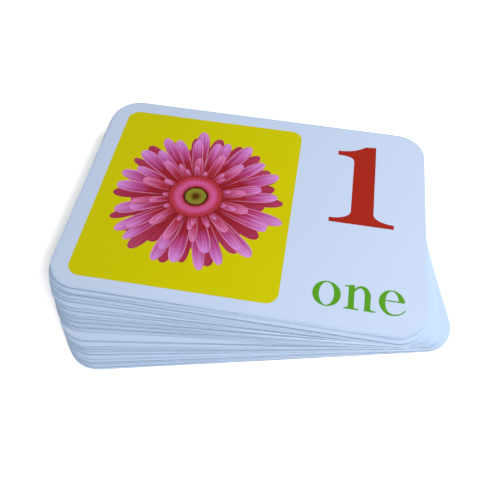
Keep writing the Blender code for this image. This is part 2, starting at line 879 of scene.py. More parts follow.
@dataclass(frozen=True)
class Foot:
    """A serif under a stem, whose two brackets run up into the stem's sides."""

    left: float
    right: float
    stem_left: float
    stem_right: float
    thin: float
    bracket: float

    def patches(self) -> list[Patch]:
        """Draw the serif's outline.

        Returns:
            The outline.
        """
        top = self.thin + self.bracket
        right_run = (self.right - self.stem_right, self.bracket)
        left_run = (self.stem_left - self.left, self.bracket)
        foot = [(self.left, 0.0), (self.right, 0.0)]
        return [foot + arc((self.right, top), right_run, -90, -180) + arc((self.left, top), left_run, 0, -90)]


@dataclass(frozen=True)
class Flag:
    """A stroke that runs out of a stem's head to the left, and the slanted top of that stem."""

    tip: Point
    thin: float
    stem_left: float
    stem_right: float
    top: float
    SLANT = 0.1
    BRACKET = 0.7

    def patches(self) -> list[Patch]:
        """Draw the flag's outline.

        Returns:
            The outline.
        """
        tip_x, tip_y = self.tip
        peak = (self.stem_left + self.stem_right) / 2
        rise = self.top - tip_y
        upper = bend((tip_x, tip_y), (self.stem_left, tip_y), (peak, self.top - self.SLANT * rise))
        lower = bend(
            (self.stem_left, tip_y - self.thin - self.BRACKET * rise),
            (self.stem_left, tip_y - self.thin),
            (tip_x, tip_y - self.thin),
        )
        return [lower[::-1] + [(self.stem_right, lower[0][1]), (self.stem_right, self.top)] + upper[::-1]]


@dataclass(frozen=True)
class Bowl:
    """A round stroke, thick at its sides and thin at its caps, from a start angle to an end angle."""

    middle: Point
    reach: Point
    side: float
    cap: float
    start: float = 0.0
    end: float = 360.0
    STEP_DEG = 6
    LEAST_STEPS = 6

    def patches(self) -> list[Patch]:
        """Draw the stroke.

        Returns:
            A run of four-cornered patches.
        """
        steps = max(self.LEAST_STEPS, round(abs(self.end - self.start) / self.STEP_DEG))
        outer = arc(self.middle, self.reach, self.start, self.end, steps)
        inner_reach = (self.reach[0] - self.side, self.reach[1] - self.cap)
        inner = arc(self.middle, inner_reach, self.start, self.end, steps)
        return [[outer[i], outer[i + 1], inner[i + 1], inner[i]] for i in range(steps)]


class Brush:
    """A curved stroke through given places."""

    STEPS = 7

    def __init__(self, *path: Triple) -> None:
        """Take the places in order, each with its x, its y and the stroke's width there."""
        self.places = [Vector(place) for place in path]

    def line(self) -> list[Vector]:
        """Draw a smooth curve through the given places.

        Returns:
            Places closely along it, each with the stroke's width there.
        """
        first, second = self.places[:2]
        before_last, last = self.places[-2:]
        padded = [2 * first - second, *self.places, 2 * last - before_last]
        line = []
        for a, b, c, d in zip(padded, padded[1:], padded[2:], padded[3:]):
            for step in range(self.STEPS):
                t = step / self.STEPS
                place = 2 * b + (c - a) * t
                place += (2 * a - 5 * b + 4 * c - d) * t**2
                place += (3 * b - a - 3 * c + d) * t**3
                line.append(place / 2)
        return line + [last]

    def patches(self) -> list[Patch]:
        """Draw the stroke.

        Returns:
            A run of four-cornered patches.
        """
        line = self.line()
        left, right = [], []
        for i, place in enumerate(line):
            along = (line[min(i + 1, len(line) - 1)] - line[max(i - 1, 0)]).to_2d().normalized()
            half = place.z / 2
            left.append((place.x - along.y * half, place.y + along.x * half))
            right.append((place.x + along.y * half, place.y - along.x * half))
        return [[right[i], right[i + 1], left[i + 1], left[i]] for i in range(len(line) - 1)]


@dataclass(frozen=True)
class Dot:
    """A round spot, such as the end of a hook."""

    middle: Point
    radius: float
    SIDES = 20

    def patches(self) -> list[Patch]:
        """Give the spot's outline."""
        return [circle(self.middle, self.radius, self.SIDES)]


@dataclass(frozen=True)
class Turned:
    """A stroke turned half round within a glyph's width and a height of 1."""

    stroke: "Stroke"
    width: float

    def patches(self) -> list[Patch]:
        """Give the turned outlines."""
        return [[(self.width - x, 1 - y) for x, y in patch] for patch in self.stroke.patches()]


Stroke = Bar | Slab | Foot | Flag | Bowl | Brush | Dot | Turned


class Glyph:
    """One letter or figure: how wide it is set and the strokes that it is drawn with."""

    def __init__(self, width: float, *strokes: Stroke) -> None:
        """Take the width and the strokes in order."""
        self.width = width
        self.strokes = strokes

    def patches(self) -> list[Patch]:
        """Give the outlines of all its strokes."""
        return [patch for stroke in self.strokes for patch in stroke.patches()]

    def turned(self) -> "Glyph":
        """Give the glyph turned half round within its width and a height of 1."""
        return Glyph(self.width, *(Turned(stroke, self.width) for stroke in self.strokes))


class Figures:
    """Fat serif figures, 1 high."""

    SIX = Glyph(
        0.66,
        Bowl((0.33, 0.31), (0.32, 0.325), 0.2, 0.045),
        Brush((0.5, 0.86, 0.06), (0.42, 0.96, 0.05), (0.28, 0.9, 0.1), (0.12, 0.65, 0.2), (0.11, 0.33, 0.2)),
        Dot((0.49, 0.84), 0.08),
    )
    ALL = {
        "0": Glyph(0.68, Bowl((0.34, 0.5), (0.33, 0.51), 0.2, 0.045)),
        "1": Glyph(
            0.586,
            Bar((0.297, 0.05), (0.297, 0.9), 0.207),
            Foot(0.0, 0.586, 0.193, 0.4, 0.047, 0.095),
            Flag((0.034, 0.899), 0.056, 0.193, 0.4, 1.0),
        ),
        "2": Glyph(
            0.62,
            Dot((0.13, 0.75), 0.085),
            Brush(
                (0.07, 0.77, 0.05), (0.15, 0.92, 0.05), (0.31, 0.97, 0.06), (0.47, 0.85, 0.17),
                (0.46, 0.65, 0.19), (0.28, 0.36, 0.1), (0.06, 0.08, 0.07),
            ),
            Slab(0.03, 0.57, 0.0, 0.14),
            Bar((0.56, 0.0), (0.585, 0.28), 0.045),
        ),
        "3": Glyph(
            0.64,
            Dot((0.13, 0.8), 0.08),
            Brush(
                (0.07, 0.83, 0.05), (0.16, 0.95, 0.05), (0.3, 0.975, 0.06), (0.44, 0.87, 0.16),
                (0.44, 0.69, 0.18), (0.34, 0.56, 0.09), (0.2, 0.53, 0.05),
            ),
            Brush(
                (0.2, 0.53, 0.05), (0.4, 0.48, 0.1), (0.51, 0.31, 0.2), (0.46, 0.12, 0.17),
                (0.3, 0.025, 0.06), (0.14, 0.05, 0.05), (0.06, 0.19, 0.05),
            ),
            Dot((0.125, 0.2), 0.085),
        ),
        "4": Glyph(
            0.68,
            Bar((0.04, 0.26), (0.43, 1.0), 0.075),
            Slab(0.01, 0.66, 0.24, 0.3),
            Bar((0.45, 0.03), (0.45, 1.0), 0.2),
            Foot(0.25, 0.65, 0.35, 0.55, 0.045, 0.06),
        ),
        "5": Glyph(
            0.64,
            Slab(0.1, 0.53, 0.85, 0.985),
            Bar((0.115, 0.5), (0.135, 0.985), 0.05),
            Brush(
                (0.11, 0.52, 0.05), (0.25, 0.61, 0.07), (0.42, 0.56, 0.13), (0.51, 0.34, 0.21),
                (0.45, 0.12, 0.17), (0.29, 0.025, 0.06), (0.14, 0.05, 0.05), (0.06, 0.18, 0.05),
            ),
            Dot((0.125, 0.19), 0.08),
        ),
        "6": SIX,
        "7": Glyph(
            0.6,
            Slab(0.05, 0.57, 0.85, 0.985),
            Bar((0.085, 0.7), (0.07, 0.985), 0.045),
            Brush((0.54, 0.9, 0.07), (0.41, 0.62, 0.1), (0.29, 0.32, 0.18), (0.26, 0.0, 0.21)),
        ),
        "8": Glyph(
            0.66,
            Bowl((0.33, 0.745), (0.255, 0.265), 0.15, 0.045),
            Bowl((0.33, 0.265), (0.315, 0.28), 0.19, 0.045),
        ),
        "9": SIX.turned(),
    }


class Letters:
    """Book serif letters, with small letters 1 high."""

    STEM = 0.21
    HAIR = 0.055
    TALL = 1.5
    ARCH = (
        Brush(
            (0.32, 0.68, 0.05), (0.44, 0.87, 0.08), (0.6, 0.95, 0.11), (0.76, 0.87, 0.17),
            (0.84, 0.66, 0.21), (0.84, 0.5, 0.21),
        ),
        Bar((0.84, 0.03), (0.84, 0.55), 0.21),
        Foot(0.72, 1.12, 0.735, 0.945, 0.055, 0.05),
    )

    @classmethod
    def stem(cls, top: float) -> tuple[Stroke, ...]:
        """Draw an upright stem on its foot, with a flag at its head.

        Args:
            top: The stem's height.

        Returns:
            Its strokes.
        """
        return (
            Bar((0.27, 0.03), (0.27, top - 0.1), cls.STEM),
            Foot(0.02, 0.53, 0.165, 0.375, cls.HAIR, 0.05),
            Flag((0.02, top - 0.04), cls.HAIR, 0.165, 0.375, top),
        )

    @classmethod
    def heads(cls, *spans: Point) -> tuple[Stroke, ...]:
        """Give the level serifs on top of slanted strokes."""
        return tuple(Slab(left, right, 1 - cls.HAIR, 1.0) for left, right in spans)

    @classmethod
    def table(cls) -> dict[str, Glyph]:
        """Draw every letter that the number words use.

        Returns:
            The letters by their signs.
        """
        low = cls.stem(1.0)
        tall = cls.stem(cls.TALL)
        return {
            "o": Glyph(1.1, Bowl((0.5, 0.5), (0.5, 0.515), 0.235, 0.05)),
            "n": Glyph(1.23, *low, *cls.ARCH),
            "h": Glyph(1.23, *tall, *cls.ARCH),
            "i": Glyph(0.58, *low, Dot((0.26, 1.32), 0.125)),
            "l": Glyph(0.58, *tall),
            "e": Glyph(
                0.96,
                Bowl((0.46, 0.5), (0.46, 0.515), 0.225, 0.05, 8, 246),
                Brush(
                    (0.29, 0.08, 0.13), (0.38, 0.035, 0.09), (0.52, 0.015, 0.06), (0.68, 0.055, 0.05),
                    (0.82, 0.14, 0.045), (0.92, 0.25, 0.04),
                ),
                Slab(0.1, 0.905, 0.54, 0.59),
            ),
            "t": Glyph(
                0.68,
                Bar((0.3, 0.2), (0.3, 1.0), cls.STEM),
                Flag((0.06, 0.97), cls.HAIR, 0.205, 0.395, 1.3),
                Slab(0.06, 0.62, 0.92, 0.985),
                Brush((0.3, 0.26, 0.19), (0.33, 0.09, 0.17), (0.46, 0.02, 0.07), (0.63, 0.13, 0.05)),
            ),
            "r": Glyph(
                0.82,
                *low,
                Brush((0.34, 0.62, 0.05), (0.46, 0.88, 0.09), (0.62, 0.96, 0.1)),
                Dot((0.66, 0.88), 0.11),
            ),
            "f": Glyph(
                0.72,
                Bar((0.3, 0.03), (0.3, 1.1), cls.STEM),
                Foot(0.04, 0.6, 0.205, 0.395, cls.HAIR, 0.05),
                Slab(0.05, 0.62, 0.92, 0.985),
                Brush((0.3, 1.05, 0.19), (0.35, 1.36, 0.15), (0.5, 1.5, 0.07), (0.67, 1.45, 0.06)),
                Dot((0.66, 1.39), 0.1),
            ),
            "u": Glyph(
                1.18,
                Bar((0.27, 0.33), (0.27, 0.9), cls.STEM),
                Flag((0.02, 0.96), cls.HAIR, 0.175, 0.365, 1.0),
                Bowl((0.57, 0.36), (0.395, 0.375), 0.19, 0.1, 180, 335),
                Bar((0.87, 0.0), (0.87, 0.9), cls.STEM),
                Flag((0.64, 0.96), cls.HAIR, 0.775, 0.965, 1.0),
                Slab(0.87, 1.13, 0.0, cls.HAIR),
            ),
            "g": Glyph(
                1.06,
                Bowl((0.46, 0.53), (0.43, 0.48), 0.19, 0.05),
                Bar((0.87, -0.1), (0.87, 0.9), cls.STEM),
                Flag((0.7, 0.96), cls.HAIR, 0.775, 0.965, 1.0),
                Brush((0.87, -0.06, 0.19), (0.8, -0.33, 0.13), (0.56, -0.44, 0.07), (0.28, -0.39, 0.06)),
                Dot((0.29, -0.32), 0.1),
            ),
            "s": Glyph(
                0.78,
                Brush(
                    (0.64, 0.8, 0.05), (0.55, 0.94, 0.05), (0.38, 0.975, 0.07), (0.2, 0.83, 0.15),
                    (0.28, 0.6, 0.2), (0.5, 0.43, 0.2), (0.57, 0.21, 0.16), (0.4, 0.025, 0.07),
                    (0.2, 0.05, 0.05), (0.11, 0.2, 0.05),
                ),
                Bar((0.645, 0.68), (0.645, 0.99), 0.05),
                Bar((0.105, 0.01), (0.105, 0.32), 0.05),
            ),
            "v": Glyph(
                0.98,
                Bar((0.46, 0.0), (0.2, 1.0), 0.21),
                Bar((0.46, 0.0), (0.76, 1.0), 0.07),
                *cls.heads((0.02, 0.4), (0.6, 0.94)),
            ),
            "w": Glyph(
                1.46,
                Bar((0.44, 0.0), (0.2, 1.0), 0.21),
                Bar((0.44, 0.0), (0.72, 1.0), 0.07),
                Bar((0.96, 0.0), (0.72, 1.0), 0.21),
                Bar((0.96, 0.0), (1.24, 1.0), 0.07),
                *cls.heads((0.02, 0.4), (0.55, 0.92), (1.1, 1.42)),
            ),
            "x": Glyph(
                1.0,
                Bar((0.76, 0.0), (0.22, 1.0), 0.22),
                Bar((0.2, 0.0), (0.76, 1.0), 0.07),
                Slab(0.03, 0.38, 0.0, cls.HAIR),
                Slab(0.56, 0.96, 0.0, cls.HAIR),
                *cls.heads((0.03, 0.42), (0.6, 0.93)),
            ),
            "y": Glyph(
                0.98,
                Bar((0.47, 0.0), (0.2, 1.0), 0.21),
                Bar((0.38, -0.25), (0.77, 1.0), 0.07),
                Brush((0.38, -0.25, 0.07), (0.3, -0.4, 0.07), (0.16, -0.42, 0.06)),
                Dot((0.17, -0.35), 0.095),
                *cls.heads((0.02, 0.4), (0.6, 0.95)),
            ),
            "-": Glyph(0.6, Slab(0.1, 0.5, 0.4, 0.5)),
        }


class Ink(IntEnum):
    """The inks of one card's face, in the order of its materials."""

    PANEL = 0
    FIGURES = 1
    WORD = 2
    PETALS = 3
    HEART = 4


@dataclass
class Lettering:
    """The number and the number word in a card's right-hand column."""

    figure_foot: Point = (44.2, -3.45)
    figure_height: float = 44.4
    word_foot: Point = (45.1, -42.25)
    word_height: float = 10.4
    column_width: float = 42.0
    letters: dict[str, Glyph] = field(default_factory=Letters.table)

    UNITS = (
        "one two three four five six seven eight nine ten eleven twelve thirteen fourteen fifteen sixteen"
        " seventeen eighteen nineteen"
    ).split()
    TENS = {2: "twenty"}

    def word(self, number: int) -> str:
        """Spell a number.

        Args:
            number: A number from 1 to 29.

        Returns:
            The number word.
        """
        if number <= len(self.UNITS):
            return self.UNITS[number - 1]
        tens, unit = divmod(number, 10)
        return self.TENS[tens] + (f"-{self.UNITS[unit - 1]}" if unit else "")

    def set_line(self, sheet: PrintSheet, glyphs: list[Glyph], foot: Point, height: float, ink: Ink) -> None:
        """Print a line of glyphs in the column, made smaller where it would be too wide.

        Args:
            sheet: The sheet to print on.
            glyphs: The glyphs in order.
            foot: The middle of the line's foot on the card.
            height: How tall a glyph of height 1 is.
            ink: The ink it takes.
        """
        width = sum(glyph.width for glyph in glyphs)
        scale = min(height, self.column_width / width)
        base = foot[1] + (height - scale) / 2
        left = foot[0] - width * scale / 2
        for glyph in glyphs:
            for patch in glyph.patches():
                sheet.add(Shape([(left + x * scale, base + y * scale) for x, y in patch], ink))
            left += glyph.width * scale

    def print_on(self, sheet: PrintSheet, number: int) -> None:
        """Print a card's number in figures and as a word.

        Args:
            sheet: The sheet to print on.
            number: The number.
        """
        figures = [Figures.ALL[figure] for figure in str(number)]
        self.set_line(sheet, figures, self.figure_foot, self.figure_height, Ink.FIGURES)
        letters = [self.letters[letter] for letter in self.word(number)]
        self.set_line(sheet, letters, self.word_foot, self.word_height, Ink.WORD)


@dataclass
class Panel:
    """The coloured panel on the left of a card's face, inside a white border."""

    width: float = 79.0
    height: float = 89.6
    middle: Point = (-23.45, -0.35)
    corner: float = 5.0

    def print_on(self, sheet: PrintSheet) -> None:
        """Print the panel as one flat patch with round corners."""
        half = (self.width / 2 - self.corner, self.height / 2 - self.corner)
        sheet.add(Shape(rounded_box(self.middle, half, self.corner, CURVE_STEPS), Ink.PANEL))


@dataclass(frozen=True)
class PetalRing:
    """One ring of petals round a flower's middle, in millimetres or as shares of the flower's radius."""

    petals: int
    reach: float
    width: float
    tone: float
    spread: float
    shade: bool = True
    FLARE = 0.6
    ROUNDING = 6.0

    def half_width(self, along: float) -> float:
        """Give a petal's half width at a place along it, as a share of its greatest."""
        return (1 - self.FLARE + self.FLARE * along) * math.sqrt(1 - along**self.ROUNDING)


@dataclass
class Blossom:
    """A large many-petalled flower, printed from its backmost ring to its heart."""

    middle: Point = (-23.3, -0.35)
    root: float = 7.5
    heart_radius: float = 11.2
    rings: tuple[PetalRing, ...] = (
        PetalRing(24, 29.0, 7.5, 0.0, 0.1, False),
        PetalRing(21, 36.0, 6.6, 0.04, 0.1, False),
        PetalRing(21, 37.4, 7.0, 1.0, 0.12),
        PetalRing(12, 33.0, 6.2, 0.9, 0.22),
        PetalRing(12, 27.0, 5.0, 0.6, 0.25),
        PetalRing(10, 19.5, 3.2, 0.65, 0.2),
        PetalRing(11, 15.4, 2.2, 0.7, 0.12),
    )
    shade_step: Point = (0.45, -0.45)
    seed: int = 41
    steps: int = 14
    heart_sides: int = 72
    SHADE_REACH = 0.96
    CLOSER_AT_TIP = 1.8
    PLACE_PLAY = 0.25
    TURN_PLAY = 0.06
    WIDTH_PLAY = (-0.2, 0.15)
    TONE_PLAY = 0.1

    def petal(self, size: Point, ring: PetalRing, start: Point, turn: float) -> Patch:
        """Draw one petal's outline.

        Args:
            size: Half its greatest width, and its length from its root.
            ring: The ring it belongs to.
            start: Where its root is.
            turn: Which way it points, in radians.

        Returns:
            The outline.
        """
        places = [1 - (1 - step / self.steps) ** self.CLOSER_AT_TIP for step in range(self.steps + 1)]
        right = [(along * size[1], -ring.half_width(along) * size[0]) for along in places]
        left = [(along, -across) for along, across in reversed(right[:-1])]
        cos, sin = math.cos(turn), math.sin(turn)
        return [(start[0] + x * cos - y * sin, start[1] + x * sin + y * cos) for x, y in right + left]

    def print_ring(self, sheet: PrintSheet, ring: PetalRing, chance: random.Random) -> None:
        """Print one ring of petals, each over a thin shade of its own where the ring has shades.

        Args:
            sheet: The sheet to print on.
            ring: The ring.
            chance: The source of the petals' small differences.
        """
        step = 2 * math.pi / ring.petals
        first = step / 2 if ring.shade else 0.0
        for petal in range(ring.petals):
            angle = first + step * (petal + chance.uniform(-self.PLACE_PLAY, self.PLACE_PLAY))
            turn = angle + chance.uniform(-self.TURN_PLAY, self.TURN_PLAY)
            x = self.middle[0] + self.root * math.cos(angle)
            y = self.middle[1] + self.root * math.sin(angle)
            reach = ring.reach * (1 - chance.uniform(0, ring.spread)) - self.root
            width = ring.width * (1 + chance.uniform(*self.WIDTH_PLAY))
            tone = min(1.0, max(0.0, ring.tone + chance.uniform(-self.TONE_PLAY, self.TONE_PLAY)))
            size = (width / 2, reach)
            if ring.shade:
                under = (x + self.shade_step[0], y + self.shade_step[1])
                shade = self.petal((width / 2, reach * self.SHADE_REACH), ring, under, turn)
                sheet.add(Shape(shade, Ink.PETALS, under, turn, size, 0.0))
            sheet.add(Shape(self.petal(size, ring, (x, y), turn), Ink.PETALS, (x, y), turn, size, tone))

    def print_on(self, sheet: PrintSheet) -> None:
        """Print the flower.

        Args:
            sheet: The sheet to print on.
        """
        chance = random.Random(self.seed)
        for ring in self.rings:
            self.print_ring(sheet, ring, chance)
        heart = circle(self.middle, self.heart_radius, self.heart_sides)
        sheet.add(Shape(heart, Ink.HEART, self.middle, 0.0, (self.heart_radius, self.heart_radius)))


class FlowerKind(Enum):
    """The kinds of small flower to count on a card, each given by its rings from back to front."""

    ASTER = (
        PetalRing(16, 1.0, 0.2, 0.05, 0.06),
        PetalRing(16, 1.0, 0.22, 0.9, 0.08),
        PetalRing(10, 0.72, 0.2, 0.55, 0.12),
    )
    PRIMROSE = (PetalRing(5, 1.0, 0.86, 0.08, 0.02), PetalRing(5, 1.0, 0.9, 0.75, 0.03))
    COSMOS = (PetalRing(8, 0.92, 0.5, 0.05, 0.02), PetalRing(8, 1.0, 0.56, 0.85, 0.05))
    DAISY = (PetalRing(14, 1.0, 0.3, 0.08, 0.04), PetalRing(14, 0.98, 0.28, 1.0, 0.06))


@dataclass
class CountingPicture:
    """As many small flowers as the card's number says, in rows on the panel.

    A flower's sizes are shares of its radius. Only large ones have shades, on all but their backmost ring.
    """

    panel: Panel
    kind: FlowerKind
    count: int
    FILL = 0.9
    CROWDING = 0.47
    SWAY = 0.19
    ROOT = 0.14
    HEART = 0.27
    SHADE_STEP = 0.025
    LEAST_SHADED_REACH = 9.0
    LEAST_STEPS = 5
    STEPS_PER_MM = 0.5
    LEAST_HEART_SIDES = 16
    HEART_SIDES_PER_MM = 1.6

    def rings(self, reach: float) -> tuple[PetalRing, ...]:
        """Bring the flower's rings to size.

        Args:
            reach: The flower's radius.

        Returns:
            The rings from back to front.
        """
        large = reach > self.LEAST_SHADED_REACH
        rings = []
        for place, ring in enumerate(self.kind.value):
            shade = large and place > 0
            rings.append(replace(ring, reach=reach * ring.reach, width=reach * ring.width, shade=shade))
        return tuple(rings)

    def blossom(self, middle: Point, reach: float, seed: int) -> Blossom:
        """Make one flower.

        Args:
            middle: Its middle on the card.
            reach: Its radius.
            seed: The start of its chance differences.

        Returns:
            The flower.
        """
        return Blossom(
            middle=middle,
            root=reach * self.ROOT,
            heart_radius=reach * self.HEART,
            rings=self.rings(reach),
            shade_step=(reach * self.SHADE_STEP, reach * -self.SHADE_STEP),
            seed=seed,
            steps=max(self.LEAST_STEPS, round(reach * self.STEPS_PER_MM)),
            heart_sides=max(self.LEAST_HEART_SIDES, round(reach * self.HEART_SIDES_PER_MM)),
        )

    def row_lengths(self) -> list[int]:
        """Share the flowers out over level rows.

        Returns:
            The number of flowers in each row, from the back.
        """
        rows = round(math.sqrt(self.count * self.panel.height / self.panel.width))
        each, left_over = divmod(self.count, rows)
        return [each + 1 if row < left_over else each for row in range(rows)]

    def places(self) -> tuple[list[Point], float]:
        """Lay the flowers out, with rows of one swaying from side to side.

        Returns:
            Their middles and the radius of each.
        """
        lengths = self.row_lengths()
        cell = min(self.panel.width * self.FILL / max(lengths), self.panel.height * self.FILL / len(lengths))
        middles = []
        for row, length in enumerate(lengths):
            sway = (-1) ** (row + 1) * self.SWAY * self.panel.width if max(lengths) == 1 else 0.0
            y = self.panel.middle[1] + ((len(lengths) - 1) / 2 - row) * cell
            for column in range(length):
                middles.append((self.panel.middle[0] + sway + (column - (length - 1) / 2) * cell, y))
        return middles, cell * self.CROWDING

    def print_on(self, sheet: PrintSheet) -> None:
        """Print the flowers.

        Args:
            sheet: The sheet to print on.
        """
        middles, reach = self.places()
        for number, middle in enumerate(middles, start=1):
            self.blossom(middle, reach, number).print_on(sheet)


@dataclass(frozen=True)
class CardPlace:
    """Where a card lies in the frame, read from its node."""

    node: str
    middle: Vector
    turn: float
    length: float
    width: float
    thickness: float
    POINT_DIGITS = 7

    @classmethod
    def of_node(cls, node: str) -> "CardPlace":
        """Read a card's middle, turn and size from its node's points.

        Args:
            node: The node's name.

        Returns:
            The place, with its middle on the card's underside.
        """
        low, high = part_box(node)
        points = np.array([vertex.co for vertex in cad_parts[node].data.vertices])
        outline = points[points[:, 2] > (low.z + high.z) / 2][:, :2]
        corners = np.unique(outline.round(cls.POINT_DIGITS), axis=0)
        middle = (corners.min(axis=0) + corners.max(axis=0)) / 2
        _, axes = np.linalg.eigh(np.cov((corners - middle).T))
        long_axis = axes[:, 1] * math.copysign(1.0, axes[0, 1])
        turn = math.atan2(long_axis[1], long_axis[0])
        back = np.array([[math.cos(turn), math.sin(turn)], [-math.sin(turn), math.cos(turn)]])
        size = np.ptp((corners - middle) @ back.T, axis=0)
        return cls(node, Vector((*middle, low.z)), turn, float(size[0]), float(size[1]), high.z - low.z)

    def matrix(self, height: float) -> Matrix:
        """Give the card's placement at a height over its underside, in metres."""
        return Matrix.Translation(self.middle + Vector((0, 0, height))) @ Matrix.Rotation(self.turn, 4, "Z")


class BoardSide(IntEnum):
    """The finishes of a card's board, in the order of its materials."""

    FILM = 0
    EDGE = 1


@dataclass
class CardBlank:
    """A die-cut card: two filmed faces, softened rims and a bare cut edge.

    The film goes on over the upper rim. The edge's tones are given by the least that a pale card has at each
    end, and by how much single cards differ.
    """

    corner_mm: float = 12.0
    corner_steps: int = 16
    trim_mm: float = 0.04
    ink_room_mm: float = 0.02
    ink_height_mm: float = 0.016
    rim_mm: float = 0.05
    rim_steps: int = 3
    # Width of the band of painted shade on each face along the rim.
    seal_mm: float = 1.2
    sharp_deg: float = 20.0

    NEAR_RIM = "near_rim"
    RISE = "edge_rise"
    ALONG = "along_card"
    LEFT_TONE = "left_tone"
    RIGHT_TONE = "right_tone"
    # Painted shade: a pale card's edge tone is set lower at the left end than at the right.
    LEFT_PALE = 1 / 2
    LEFT_PLAY = 1 / 6
    RIGHT_PALE = 4 / 5
    RIGHT_PLAY = 1 / 5

    def outline(self, place: CardPlace, inset: float) -> Patch:
        """Draw the card's trimmed outline.

        Args:
            place: The card's place.
            inset: How far to draw it in, in metres.

        Returns:
            The outline in the card's own frame, in metres.
        """
        radius = (self.corner_mm - self.trim_mm) * MM - inset
        half = (place.length / 2 - self.corner_mm * MM, place.width / 2 - self.corner_mm * MM)
        return rounded_box((0.0, 0.0), half, radius, self.corner_steps)

    def end_tones(self, node: str) -> Point:
        """Give the tones of a card's cut edge at its left and right ends.

        Down the deck, every second card is dark at the left, and every third one at the right: painted shade
        for edges set back in the shadow of the cards above. A pale card's left end is also darker than its
        right end, as painted shade for the end that gets less light, and each tone differs a little at
        random.

        Args:
            node: The card's node, whose name ends with its number.

        Returns:
            The left tone and the right tone.
        """
        number = int(node[-2:])
        chance = random.Random(node)
        left = self.LEFT_PALE * (number % 2 == 0) + self.LEFT_PLAY * chance.random()
        right = self.RIGHT_PALE * (number % 3 != 0) + self.RIGHT_PLAY * chance.random()
        return left, right

    def ink_level(self, place: CardPlace) -> float:
        """Give the height of a card's ink over its underside, in metres."""
        return place.thickness - (self.ink_room_mm - self.ink_height_mm) * MM

    def levels(self, top: float) -> list[Point]:
        """Set out the loops that the card's mesh is made of.

        Args:
            top: The height of the upper face, in metres.

        Returns:
            Each loop's inset and height from the underside up, in metres.
        """
        rim = self.rim_mm * MM
        lower = [(self.seal_mm * MM, 0.0)]
        for step in range(self.rim_steps + 1):
            angle = math.pi / 2 * step / self.rim_steps
            lower.append((rim * (1 - math.sin(angle)), rim * (1 - math.cos(angle))))
        return lower + [(inset, top - height) for inset, height in reversed(lower)]

    def add_loops(self, bm: bmesh.types.BMesh, place: CardPlace) -> list[list[bmesh.types.BMVert]]:
        """Add the card's points, with the values that its finishes read.

        Args:
            bm: The mesh to add to.
            place: The card's place.

        Returns:
            The loops of points from the underside up.
        """
        top = place.thickness - self.ink_room_mm * MM
        names = (self.NEAR_RIM, self.RISE, self.ALONG, self.LEFT_TONE, self.RIGHT_TONE)
        layers = [bm.verts.layers.float.new(name) for name in names]
        tones = self.end_tones(place.node)
        levels = self.levels(top)
        loops = []
        for inset, height in levels:
            # Painted rim shade: full on every loop but each face's innermost, where it is none.
            near_rim = 0.0 if inset == levels[0][0] else 1.0
            loops.append([bm.verts.new((x, y, height)) for x, y in self.outline(place, inset)])
            for vertex in loops[-1]:
                values = (near_rim, height / top, 0.5 + vertex.co.x / place.length, *tones)
                for layer, value in zip(layers, values):
                    vertex[layer] = value
        return loops

    def build(self, place: CardPlace, film: Material, edge: Material) -> bpy.types.Object:
        """Make one card as a closed mesh.

        Args:
            place: Where the card lies and how large it is.
            film: The finish of both faces.
            edge: The finish of the cut edge.

        Returns:
            The card, in its place.
        """
        bm = bmesh.new()
        loops = self.add_loops(bm, place)
        for number, (below, above) in enumerate(zip(loops, loops[1:])):
            cut = 0 < number < len(loops) // 2
            for i in range(len(below)):
                j = (i + 1) % len(below)
                face = bm.faces.new((below[i], below[j], above[j], above[i]))
                face.material_index = BoardSide.EDGE if cut else BoardSide.FILM
        for loop in (reversed(loops[0]), loops[-1]):
            bm.faces.new(loop).material_index = BoardSide.FILM
        mesh = bpy.data.meshes.new(place.node + "_board")
        bm.to_mesh(mesh)
        bm.free()
        mesh.shade_smooth()
        mesh.set_sharp_from_angle(angle=math.radians(self.sharp_deg))
        mesh.materials.append(film)
        mesh.materials.append(edge)
        mesh.transform(place.matrix(0.0))
        return put_in_scene(mesh.name, mesh)


@dataclass(frozen=True)
class Scheme:
    """The inks of one card's face."""

    name: str
    panel: Colour
    figures: Colour
    word: Colour
    heart: Colour
    petals: Colour


SCHEMES = (
    Scheme(
        "sunny",
        panel=paint(208, 202, 4),
        figures=paint(166, 38, 22),
        word=paint(88, 158, 34),
        heart=paint(112, 70, 20),
        petals=paint(206, 92, 140),
    ),
    Scheme(
        "sky",
        panel=paint(104, 180, 216),
        figures=paint(88, 158, 34),
        word=paint(166, 40, 24),
        heart=paint(170, 92, 20),
        petals=paint(236, 206, 52),
    ),
    Scheme(
        "coral",
        panel=paint(232, 140, 104),
        figures=paint(40, 92, 164),
        word=paint(140, 50, 130),
        heart=paint(214, 168, 40),
        petals=paint(226, 222, 232),
    ),
    Scheme(
        "mint",
        panel=paint(124, 194, 138),
        figures=paint(150, 44, 120),
        word=paint(206, 104, 22),
        heart=paint(150, 52, 36),
        petals=paint(232, 128, 58),
    ),
    Scheme(
        "lilac",
        panel=paint(176, 152, 206),
        figures=paint(206, 104, 22),
        word=paint(40, 92, 164),
        heart=paint(226, 190, 60),
        petals=paint(112, 92, 190),
    ),
)


